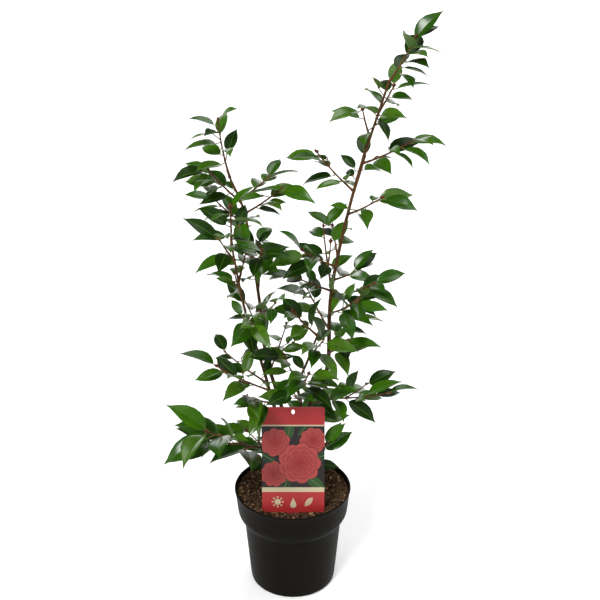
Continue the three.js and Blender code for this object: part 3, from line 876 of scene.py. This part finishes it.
def make_soil():
    """The bed of compost: its uneven top, and a plain underside inside the pot."""
    form = new_bmesh()
    edge = soil_edge_radius(SOIL_TOP) - SOIL_EDGE_CLEAR
    under = [
        (edge - SOIL_TAPER, BAND_FOOT_HEIGHT + SOIL_EDGE_RISE),
        (SHOULDER_RADIUS - POT_WALL - SOIL_UNDER_CLEAR, SHOULDER_HEIGHT),
        (0, SHOULDER_HEIGHT),
    ]

    def top(round_share, out_share):
        angle = step_angle(round_share, SOIL_STEPS)
        radius = edge * out_share
        x, y = radius * math.cos(angle), radius * math.sin(angle)
        return x, y, soil_height(x, y)

    def below(round_share, down_share):
        row = round(down_share * len(under))
        if row == 0:
            return top(round_share, 1)
        angle = step_angle(round_share, SOIL_STEPS)
        radius, height = under[row - 1]
        return radius * math.cos(angle), radius * math.sin(angle), height

    wrap(form, SOIL_STEPS, SOIL_RINGS, top)
    wrap(form, SOIL_STEPS, len(under), below)
    finish_mesh("soil_bed", form, [soil_finish("compost")], ["soil"])


# What lies on the soil: its first seed, its number, its sizes and how rare the great ones are
CRUMBS = dict(seed=1000, count=1700, sizes=(0.5, 2.3), rarity=2.2)
GRIT = dict(seed=4000, count=190, sizes=(0.4, 1.0), rarity=1.8)
FIBRES = dict(seed=6000, count=420, sizes=(4, 17), rarity=1.6)
SCATTER_EDGE = 2.5
TRUNK_SHARE = 0.012
ON_TOP = 0.3

LUMP_TURN = 6.28
LUMP_AXIS_RISE = 1.01
LUMP_LIFT = 0.25
LUMP_WIDTH = 0.8
LUMP_HEIGHT = 0.55
LUMP_HEIGHT_SPREAD = 0.3
LUMP_UNEVEN = 0.16
CRUMB_STRETCH = 0.9
CRUMB_DARKNESS = 1.5
GRIT_STRETCH = 0.3
GRIT_WHITENESS = 1.4

FIBRE_RISE = 6
FIBRE_RISE_SPREAD = 8
FIBRE_CURL = 70
FIBRE_RADIUS = 0.22
FIBRE_TAPER = 1.1


def scatter(seed, count, sizes, rarity):
    """Places over the soil, kept off the trunk, each with its own seed and size."""
    edge = soil_edge_radius(SOIL_TOP) - SCATTER_EDGE
    for number in range(seed, seed + count):
        radius = edge * math.sqrt(blend(TRUNK_SHARE, 1, chance(number, 1)))
        angle = 2 * math.pi * chance(number, 2)
        x, y = radius * math.cos(angle), radius * math.sin(angle)
        yield number, np.array((x, y, soil_height(x, y))), blend(*sizes, chance(number, 3) ** rarity)


def add_lump(form, number, place, size, stretch, slot):
    """One uneven lump, turned at random and half sunk into the soil."""
    axis = (spread(number, 5), spread(number, 6), LUMP_AXIS_RISE)
    turn = Matrix.Rotation(LUMP_TURN * chance(number, 4), 4, axis)
    height = LUMP_HEIGHT + LUMP_HEIGHT_SPREAD * chance(number, 8)
    shape = Matrix.Diagonal((1 + stretch * chance(number, 7), LUMP_WIDTH, height, 1))
    matrix = Matrix.Translation(Vector(place + UP * size * LUMP_LIFT) * MM) @ turn @ shape
    lump = new_bmesh()
    bmesh.ops.create_icosphere(lump, subdivisions=1, radius=size * MM, matrix=matrix)
    for k, vert in enumerate(lump.verts):
        push = Vector((spread(number, k), spread(number, k + 20), spread(number, k + 40)))
        vert.co += push * size * LUMP_UNEVEN * MM
    for face in lump.faces:
        face.material_index = slot
    join(form, lump)


def make_lumps(name, where, lift, stretch, finishes, slot_of):
    """Lumps that lie on the soil, of a finish that chance picks for each."""
    form = new_bmesh()
    for number, place, size in scatter(**where):
        add_lump(form, number, place + UP * lift, size, stretch, int(slot_of(chance(number, 9))))
    finish_mesh(name, form, finishes, smooth=False)


def make_crumbs():
    """Crumbs of compost and bark, and white and tan grit among them."""
    finishes = [soil_finish(name) for name in ("crumb_dark", "crumb_brown", "crumb_bark")]
    make_lumps("soil_crumbs", CRUMBS, 0, CRUMB_STRETCH, finishes, lambda draw: 3 * draw ** CRUMB_DARKNESS)
    finishes = [plain_finish(name, colour(*tone), rough=0.85) for name, tone in GRIT_TONES.items()]
    make_lumps("soil_grit", GRIT, ON_TOP, GRIT_STRETCH, finishes, lambda draw: GRIT_WHITENESS * draw)


def make_fibres():
    """Pale root and peat fibres that curl over the soil."""
    form = new_bmesh()
    for number, place, length in scatter(**FIBRES):
        rise = FIBRE_RISE + FIBRE_RISE_SPREAD * spread(number, 5)
        turn = FIBRE_CURL * spread(number, 6)
        line = shoot_line(place + UP * ON_TOP, 360 * chance(number, 4), rise, length, turn)
        tip = line.at(1)
        if math.hypot(tip[0], tip[1]) < soil_edge_radius(SOIL_TOP) - 1:
            wrap_tube(form, line, lambda share: FIBRE_RADIUS * (FIBRE_TAPER - share), sides=4, along=6,
                      slot=int(2 * chance(number, 7)))
    finishes = [plain_finish(name, colour(*tone), rough=0.8) for name, tone in FIBRE_TONES.items()]
    finish_mesh("soil_fibres", form, finishes)


# Label
CORNER_STEPS = 8
HOLE_STEPS = 32
STAKE_SHOULDER = 0.8


def card_outline():
    """The card's round corners, anticlockwise from the top right, and below it the pointed stake."""
    aside, top, foot = LABEL_WIDTH / 2 - LABEL_CORNER, LABEL_HEIGHT - LABEL_CORNER, LABEL_CORNER
    side, shoulder = STAKE_WIDTH / 2, -STAKE_DEPTH * STAKE_SHOULDER
    outline = []
    for quarter, (x, y) in enumerate([(aside, top), (-aside, top), (-aside, foot), (aside, foot)]):
        for i in range(CORNER_STEPS + 1):
            angle = math.pi / 2 * (quarter + i / CORNER_STEPS)
            outline.append((x + LABEL_CORNER * math.cos(angle), y + LABEL_CORNER * math.sin(angle)))
        if quarter == 2:
            outline += [(-side, 0), (-side, shoulder), (0, -STAKE_DEPTH), (side, shoulder), (side, 0)]
    return outline


def hole_outline():
    """The punched hole near the card's top."""
    middle = LABEL_HEIGHT - LABEL_HOLE_DOWN
    return [(LABEL_HOLE_WIDTH / 2 * math.cos(angle), middle + LABEL_HOLE_HEIGHT / 2 * math.sin(angle))
            for angle in np.linspace(0, 2 * math.pi, HOLE_STEPS, False)]


def label_point(across, up, out=0):
    """A point of the label's card, by its place on the face and its distance out of the middle."""
    return label_foot + np.array((1, 0, 0)) * across + label_up * up + label_face * out


def make_label():
    """The card with its stake, filled in flat, given its thickness and then leant back."""
    form = new_bmesh()
    edges = []
    for loop in (card_outline(), hole_outline()):
        verts = [form.verts.new((x, y, -LABEL_THICKNESS / 2)) for x, y in loop]
        edges += [form.edges.new(pair) for pair in zip(verts, verts[1:] + verts[:1])]
    bmesh.ops.triangle_fill(form, use_beauty=True, use_dissolve=False, edges=edges)
    grown = bmesh.ops.extrude_face_region(form, geom=form.faces[:])["geom"]
    bmesh.ops.translate(form, verts=[part for part in grown if isinstance(part, bmesh.types.BMVert)],
                        vec=(0, 0, LABEL_THICKNESS))
    bmesh.ops.recalc_face_normals(form, faces=form.faces)
    sheet = form.loops.layers.uv.active
    for face in form.faces:
        face.material_index = 0 if face.normal.z > 0.5 else 1
        for loop in face.loops:
            loop[sheet].uv = (loop.vert.co.x / LABEL_WIDTH + 0.5, loop.vert.co.y / LABEL_HEIGHT)
    for vert in form.verts:
        vert.co = Vector(label_point(*vert.co)) * MM
    finishes = [label_print(), plain_finish("label_back", colour(*LABEL_BACK_TONE), rough=0.45, depth=0.04)]
    finish_mesh("plant_label", form, finishes, ["label"], smooth=False)


# The label's print. Places and sizes are in millimetres from the middle of the card's foot, turns in radians
PRINT_TONES = dict(
    red=(152, 38, 40), deep_red=(142, 33, 36), cream=(172, 160, 132), dark=(24, 18, 19),
    deep_green=(22, 46, 22), leaf_green=(34, 66, 30), rib=(74, 98, 54),
    petal=(150, 61, 56), petal_foot=(124, 33, 37), heart=(110, 18, 22), gap=(56, 13, 18),
)
PRINT_LEAVES = (
    ((-6, 121), 17, 1.3, "leaf_green"), ((38, 84), 16, 0.3, "deep_green"), ((-38, 84), 18, 2.6, "deep_green"),
    ((30, 46), 19, 5.6, "leaf_green"), ((-10, 44), 17, 4.4, "deep_green"), ((14, 124), 12, 0.9, "deep_green"),
)
BLOSSOMS = (((28, 108), 19, 0.3), ((-25, 105), 21, 1.1), ((-27, 58), 19, 2.0), ((9, 74), 30, 0.0))
PICTURE = (38, 129)
STRIPES = ((31, 38), (129, 131))

# A blossom's whorls: each one's share of the whole and its number of petals
WHORLS = ((1.0, 9), (0.78, 8), (0.57, 7), (0.38, 5), (0.2, 3))
WHORL_TURN = 0.4
PETAL_LEAST = 0.84
PETAL_LOBE = 0.16
PETAL_ROUND = 0.6
PETAL_STREAKS = 37
PETAL_STREAK_DEPTH = 0.07
PETAL_LIGHT = 0.9
CREASE_DEPTH = 0.5
SHADOW_FADE = 9
SHADOW_DEPTH = 0.55

# The signs on the card's foot
SUN_PLACE = (-22, 16)
SUN_RADIUS = 4.4
SUN_RAYS = (5.8, 8.4)
SUN_RAY_COUNT = 8
SUN_RAY_GAP = 0.35
DROP_HEIGHT = 15
DROP_SIZE = 8
DROP_WIDTH = 0.42
SIGN_LEAF = ((22, 16), 9, 0.9)
MARK_WIDTH = 0.42
MARK_RIB = 0.03
MARK_RIB_END = 0.9


def within(value, low, high):
    return (value > low) * (value < high)


def around(finish, x, y, middle):
    """The distance and the angle of a place on the face from a middle."""
    right, up = x - middle[0], y - middle[1]
    return (right * right + up * up) ** 0.5, finish.maths("ARCTAN2", up, right)


def rosette(finish, x, y, ground, tones, middle, size, turn):
    """A round many-petalled blossom, whorl by whorl, over the ground's colour."""
    reach, angle = around(finish, x, y, middle)
    streak = finish.maths("SINE", angle * PETAL_STREAKS + turn) * PETAL_STREAK_DEPTH
    for whorl, (share, petals) in enumerate(WHORLS):
        light = tuple(blend(inner, outer, share) for inner, outer in zip(tones["petal_foot"], tones["petal"]))
        deep = tuple(blend(inner, outer, share) for inner, outer in zip(tones["heart"], tones["petal_foot"]))
        lobe = abs(finish.maths("COSINE", (angle + turn + whorl * WHORL_TURN) * (petals / 2)))
        edge = (PETAL_LEAST + lobe ** PETAL_ROUND * PETAL_LOBE) * (share * size)
        depth = reach / edge
        shadow = finish.clamp(1 - (depth - 1) * SHADOW_FADE)
        ground = finish.mix(shadow * (depth > 1) * SHADOW_DEPTH, ground, tones["gap"])
        crease = finish.sharpen(1 - lobe, gain=1.5, drop=0.75) * CREASE_DEPTH
        petal = finish.mix(finish.clamp(depth * depth * PETAL_LIGHT + crease + streak), deep, light)
        ground = finish.mix(depth < 1, ground, petal)
    return ground


def leaf_mark(finish, x, y, ground, tone, rib, middle, size, turn):
    """A pointed leaf with its midrib."""
    right, up = x - middle[0], y - middle[1]
    along = (right * math.cos(turn) + up * math.sin(turn)) / size
    aside = abs(up * math.cos(turn) - right * math.sin(turn)) / size
    inside = aside < (1 - along * along) * MARK_WIDTH
    ground = finish.mix(inside * (abs(along) < 1), ground, tone)
    return finish.mix(inside * (aside < MARK_RIB) * (abs(along) < MARK_RIB_END), ground, rib)


def sun_mark(finish, x, y):
    reach, angle = around(finish, x, y, SUN_PLACE)
    rays = within(reach, *SUN_RAYS) * (finish.maths("COSINE", angle * SUN_RAY_COUNT) > SUN_RAY_GAP)
    return (reach < SUN_RADIUS) + rays


def drop_mark(x, y):
    up = (y - DROP_HEIGHT) / DROP_SIZE
    half_width = (((1 - up) ** 3) * (up + 1)) ** 0.5 * DROP_WIDTH
    return within(up, -1, 1) * (abs(x) / DROP_SIZE < half_width)


def label_print():
    """A plain printed face: blossoms on a dark panel, cream stripes and a red foot with small signs."""
    finish = Finish("label_print")
    tones = {name: colour(*tone) for name, tone in PRINT_TONES.items()}
    across, high, _ = finish.split(finish.node("ShaderNodeTexCoord", output="UV"))
    x, y = (across - 0.5) * LABEL_WIDTH, high * LABEL_HEIGHT
    worn = finish.noise(finish.place(), scale=90, detail=3) * 0.5
    face = finish.mix(worn, tones["red"], tones["deep_red"])
    picture = tones["dark"]
    for *leaf, tone in PRINT_LEAVES:
        picture = leaf_mark(finish, x, y, picture, tones[tone], tones["rib"], *leaf)
    for blossom in BLOSSOMS:
        picture = rosette(finish, x, y, picture, tones, *blossom)
    face = finish.mix(within(y, *PICTURE), face, picture)
    face = finish.mix(within(y, *STRIPES[0]) + within(y, *STRIPES[1]), face, tones["cream"])
    face = finish.mix(sun_mark(finish, x, y) + drop_mark(x, y), face, tones["cream"])
    face = leaf_mark(finish, x, y, face, tones["cream"], tones["red"], *SIGN_LEAF)
    grain = finish.noise(finish.place(), scale=400, detail=2)
    bump = finish.bump(grain, strength=0.05, distance=0.05)
    return finish.surface(face, rough=0.38, normal=bump, Specular_IOR_Level=0.25)


# Wood. Cracks: how often round the stem, how often along it, and how deep for their stem
CRACKS = (2.2, 0.06, 0.07)
FINE_CRACKS = (5, 0.35, 0.03)
CRACK_SEED_STEP = 0.1
# Joints and the leaf scars at them: their place on the way from joint to joint, their width and their height
JOINT_EVERY = 23
JOINTS = (11.5, 1.3, 0.07)
SCARS = (10.2, 1.6, 0.5)
BARK_ROW = 2.6


def bark_relief(line, radius_at):
    """The lengthwise cracks, the swollen joints and the old leaf scars of a limb."""
    offset = Vector(line.at(0)) * CRACK_SEED_STEP

    def crack(angle, way, often_round, often_along, depth, offset=Vector()):
        place = Vector((math.cos(angle) * often_round, math.sin(angle) * often_round, way * often_along))
        return depth * noise.noise(place + offset)

    def ridge(way, place, width, height):
        return height * math.exp(-((way % JOINT_EVERY - place) / width) ** 2)

    def relief(centre, angle, share):
        way = share * line.length
        cracks = crack(angle, way, *CRACKS, offset) + crack(angle, way, *FINE_CRACKS)
        scar_angle = math.radians(LEAF_TURN * (way // JOINT_EVERY))
        scar = max(0, math.cos(angle - scar_angle)) ** 6 * ridge(way, *SCARS)
        return radius_at(share) * (cracks + ridge(way, *JOINTS)) + scar

    return relief


def swollen(stem, swell, fade):
    """A stem's radius, which swells where it leaves what bears it."""
    return lambda share: stem.radius_at(share) + swell * math.exp(-share * stem.line.length / fade)


def bark_rows(line):
    return round(line.length / BARK_ROW) + 2


def make_bark(limbs):
    """Trunk and boughs in one bark."""
    form = new_bmesh()
    for limb in limbs:
        sides, swell = (20, 0) if limb.name == "trunk" else (14, 1.8)
        radius_at = swollen(limb, swell, fade=14)
        relief = bark_relief(limb.line, radius_at)
        wrap_tube(form, limb.line, radius_at, sides, bark_rows(limb.line), relief=relief)
    finish_mesh("bark_stems", form, [bark_finish()], [limb.name for limb in limbs])


def make_twigs(limbs):
    """The leafy twigs and the spurs on them."""
    finishes = [twig_finish("twig_brown"), twig_finish("twig_green")]
    for limb in limbs:
        form = new_bmesh()
        for shoot in limb.shoots:
            for twig in shoot.twigs:
                relief = bark_relief(twig.line, twig.radius_at)
                radius_at = swollen(twig, swell=0.9, fade=5)
                wrap_tube(form, twig.line, radius_at, 8, bark_rows(twig.line), relief=relief)
            for spur in shoot.spurs:
                wrap_tube(form, spur.line, spur.radius_at, sides=6, along=6, slot=1)
        finish_mesh(f"twigs_{limb.name}", form, finishes)


# Leaves
BLADE_FROM = 0.16
# The blade's outline: a share of its way from the stalk to the tip, then its half width there
BLADE_OUTLINE = (
    (0, 0), (0.05, 0.4), (0.16, 0.77), (0.31, 0.98), (0.47, 1),
    (0.64, 0.86), (0.79, 0.52), (0.9, 0.17), (1, 0),
)
BLADE_ROWS = len(BLADE_OUTLINE) - 1
RIB_EDGE = 0.05
BLADE_COLUMNS = (-1, -0.55, -RIB_EDGE, RIB_EDGE, 0.55, 1)
BLADE_LEAST_WIDTH = 0.85
FOLD_LEAST = 0.6
FOLD_SPREAD = 0.9
TWIST = 0.4
BULGE = 0.16
WAVE_HEIGHT = 0.5
WAVE_RUN = 9
WAVE_TURN = 6.28
WAVE_OFFSET = 2
DROOP = (0.03, 0.11)
DROOP_FROM = 0.6
VEIN_PUFF = 0.0028
RIB_SINK = 0.25
RIB_BELOW = 0.75
RIB_SLOT = LEAF_GREENS
BACK_SLOT = LEAF_GREENS + 1


def blade_width(share):
    """The half width of a blade at a share of its way from the stalk to the tip."""
    return np.interp(share, *zip(*BLADE_OUTLINE))


def leaf_point(leaf, share, aside, lift=0):
    """A point of the blade: arched along, folded at the midrib, twisted, waved and drooping at the tip."""
    along = blend(BLADE_FROM, 1, share)
    width = blade_width(share)
    half_width = 0.5 * LEAF_WIDTH * leaf.length * blend(BLADE_LEAST_WIDTH, 1.0, chance(leaf.seed, 17))
    phase = WAVE_RUN * share + WAVE_TURN * chance(leaf.seed, 8) + (WAVE_OFFSET if aside < 0 else 0)
    wave = WAVE_HEIGHT * math.sin(phase) * aside ** 2 * width
    fold = LEAF_FOLD * (FOLD_LEAST + FOLD_SPREAD * chance(leaf.seed, 9))
    twist = TWIST * spread(leaf.seed, 18) * share * aside
    droop = blend(*DROOP, chance(leaf.seed, 19)) * (max(0, share - DROOP_FROM) / (1 - DROOP_FROM)) ** 2
    bulge = BULGE * (1 - aside ** 2) * abs(aside) * 2
    rise = (half_width * width * (fold * abs(aside) + bulge + twist) + wave + lift
            - leaf.length * (leaf.sag * along ** 2 + droop))
    return (leaf.root + leaf.ahead * (leaf.length * along) + leaf.normal * rise
            + leaf.side * (half_width * width * aside))


def row_share(along):
    return BLADE_OUTLINE[round(along * BLADE_ROWS)][0]


def make_leaf(form, leaf):
    """The blade's upper side with its midrib, and the paler side below it."""
    tone = int(LEAF_GREENS * chance(leaf.seed, 10))
    puff = VEIN_PUFF * leaf.length

    def upper(across, along):
        aside = BLADE_COLUMNS[round(across * (len(BLADE_COLUMNS) - 1))]
        if abs(aside) == RIB_EDGE:
            return leaf_point(leaf, row_share(along), aside, -RIB_SINK)
        between_veins = (-1) ** round(along * BLADE_ROWS) if abs(aside) < 1 else 0
        return leaf_point(leaf, row_share(along), aside, puff * between_veins * math.sin(math.pi * along))

    def lower(across, along):
        aside = round(across * 2) - 1
        lift = -RIB_BELOW * math.sin(math.pi * along) if aside == 0 else 0
        return leaf_point(leaf, row_share(along), aside, lift)

    wrap(form, len(BLADE_COLUMNS) - 1, BLADE_ROWS, upper, [tone, tone, RIB_SLOT, tone, tone])
    wrap(form, 2, BLADE_ROWS, lower, [BACK_SLOT])


def sharpen_margins(form):
    """A sharp edge wherever a blade's upper side meets its back."""
    for edge in form.edges:
        kinds = {face.material_index == BACK_SLOT for face in edge.link_faces}
        edge.smooth = len(kinds) == 1


def make_leaves(limbs):
    """The leaves of each limb, which stand for its masses of foliage."""
    finishes = [leaf_finish(name, *skin) for name, skin in LEAF_SKINS.items()]
    for limb in limbs:
        form = new_bmesh()
        for shoot in limb.shoots:
            for leaf in shoot.leaves:
                make_leaf(form, leaf)
        bmesh.ops.remove_doubles(form, verts=form.verts, dist=WELD)
        sharpen_margins(form)
        masses = [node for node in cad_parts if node.startswith(limb.name + "_foliage_")]
        finish_mesh(f"leaves_{limb.name}", form, finishes, masses, weld=False)


STALK_MEETS_BLADE = 0.03
STALK_KNEE = 0.45
STALK_SAG = 0.6


def stalk_line(leaf):
    """From inside the twig to the foot of the blade."""
    start = leaf.stem_place - leaf.axis
    tip = leaf_point(leaf, STALK_MEETS_BLADE, 0)
    return bow(start, blend(start, tip, STALK_KNEE) - UP * STALK_SAG, tip)


def stalk_radius(share):
    return blend(0.85, 0.5, share)


def make_stalks(limbs):
    form = new_bmesh()
    for limb in limbs:
        for shoot in limb.shoots:
            for leaf in shoot.leaves:
                wrap_tube(form, stalk_line(leaf), stalk_radius, sides=6, along=6)
    finish_mesh("leaf_stalks", form, [twig_finish("stalk")])


# Buds
BUD_FOOT = 0.16
BUD_BELLY = 0.8
BUD_SCALES = 0.1
TIP_BUD_LENGTH = (5, 7.5)
TIP_BUD_WIDTH = 0.26
TIP_BUD_SINK = 0.8
SIDE_BUDS = 3
SIDE_BUD_RISE = 15
SIDE_BUD_LEAN = 0.9
SIDE_BUD_SINK = 1.2
SIDE_BUD_LENGTH = 0.75
SIDE_BUD_WIDTH = 0.19
LEAF_BUD_SHARE = 0.6
LEAF_BUD_LEAN = 0.7
LEAF_BUD_LENGTH = (2.6, 4.2)
LEAF_BUD_WIDTH = 0.3


def make_bud(form, foot, axis, length, radius, slot):
    """A pointed bud, like a small closed tube, unless it would touch the label."""
    line = Line(lambda share: foot + axis * (length * share))
    if hits_label(np.array([line.at(1)])):
        return

    def radius_at(share):
        belly = math.sin(math.pi * (BUD_FOOT + (1 - BUD_FOOT) * share) ** BUD_BELLY)
        return radius * (belly + BUD_SCALES * (1 - share))

    wrap_tube(form, line, radius_at, sides=6, along=6, slot=slot)


def make_buds(limbs):
    """Clusters of buds at the twigs' tips and single ones at the leaves' feet."""
    form = new_bmesh()
    for shoot in [shoot for limb in limbs for shoot in limb.shoots]:
        for twig in shoot.twigs:
            tip, axis = twig.line.at(1), twig.line.tangent(1)
            size = blend(*TIP_BUD_LENGTH, chance(twig.seed, 11))
            make_bud(form, tip - axis * TIP_BUD_SINK, axis, size, size * TIP_BUD_WIDTH, 0)
            for side in range(SIDE_BUDS):
                bearing = 360 / SIDE_BUDS * (side + chance(twig.seed, 12 + side))
                lean = unit(axis + heading(bearing, SIDE_BUD_RISE) * SIDE_BUD_LEAN)
                make_bud(form, tip - axis * SIDE_BUD_SINK, lean, size * SIDE_BUD_LENGTH,
                         size * SIDE_BUD_WIDTH, side % 2)
        for leaf in shoot.leaves:
            if chance(leaf.seed, 14) < LEAF_BUD_SHARE:
                lean = unit(leaf.axis + leaf.ahead * LEAF_BUD_LEAN)
                size = blend(*LEAF_BUD_LENGTH, chance(leaf.seed, 15))
                make_bud(form, leaf.stem_place, lean, size + 1, size * LEAF_BUD_WIDTH,
                         int(2 * chance(leaf.seed, 16)))
    finish_mesh("buds", form, [twig_finish("bud_brown"), twig_finish("bud_tan")])


# Studio, in metres and degrees. Each sun has a name, a strength, an angle, a lean and a turn
WORLD_LIGHT = 0.08
SUNS = (("key", 2.6, 20, 40, -28), ("top", 1.6, 45, -12, 12), ("fill", 0.7, 60, 42, 48))
FLOOR_RADIUS = 8
FLOOR_CURVE = 2
FLOOR_CURVE_STEPS = 12
FLOOR_STEPS = 96
BACKDROP_HEIGHT = 4

# Camera, in metres and degrees, and its lens in millimetres
CAMERA_PLACE = (0.0108, -1.3, 1.004)
CAMERA_DOWN = 23.07
CAMERA_LENS = 62.52


def make_studio():
    """A pale paper floor that curves up into a round backdrop, and soft suns."""
    scene = bpy.context.scene
    scene.view_settings.view_transform = "Standard"
    scene.world = bpy.data.worlds.new("studio")
    scene.world.use_nodes = True
    background = scene.world.node_tree.nodes["Background"].inputs
    background["Color"].default_value = (1, 1, 1, 1)
    background["Strength"].default_value = WORLD_LIGHT

    form = bmesh.new()
    profile = [(0, 0, 0)]
    for i in range(FLOOR_CURVE_STEPS + 1):
        angle = math.pi / 2 * i / FLOOR_CURVE_STEPS
        profile.append((FLOOR_RADIUS + FLOOR_CURVE * math.sin(angle), 0, FLOOR_CURVE * (1 - math.cos(angle))))
    profile.append((FLOOR_RADIUS + FLOOR_CURVE, 0, BACKDROP_HEIGHT))
    spin_profile(form, profile, FLOOR_STEPS)
    for face in form.faces:
        face.smooth = True
    paper = plain_finish("floor_paper", tone=(0.97, 0.97, 0.97, 1), rough=0.9, depth=0.01,
                         Emission_Color=(1, 1, 1, 1), Emission_Strength=0.16)
    floor = add_object("floor", form, [paper])

    for name, strength, angle, lean, turn in SUNS:
        lamp = bpy.data.lights.new(name, "SUN")
        lamp.energy = strength
        lamp.angle = math.radians(angle)
        light = bpy.data.objects.new(name, lamp)
        light.rotation_euler = (math.radians(lean), math.radians(turn), 0)
        scene.collection.objects.link(light)


def make_camera():
    lens = bpy.data.cameras.new("camera")
    lens.sensor_width = 36
    lens.lens = CAMERA_LENS
    camera = bpy.data.objects.new("camera", lens)
    camera.location = CAMERA_PLACE
    camera.rotation_euler = (math.radians(90 - CAMERA_DOWN), 0, 0)
    bpy.context.scene.collection.objects.link(camera)
    bpy.context.scene.camera = camera


def main():
    make_camera()
    make_studio()
    limbs = grow_plant()
    make_pot()
    make_soil()
    make_crumbs()
    make_fibres()
    make_label()
    make_bark(limbs)
    make_twigs(limbs)
    make_leaves(limbs)
    make_stalks(limbs)
    make_buds(limbs)


main()
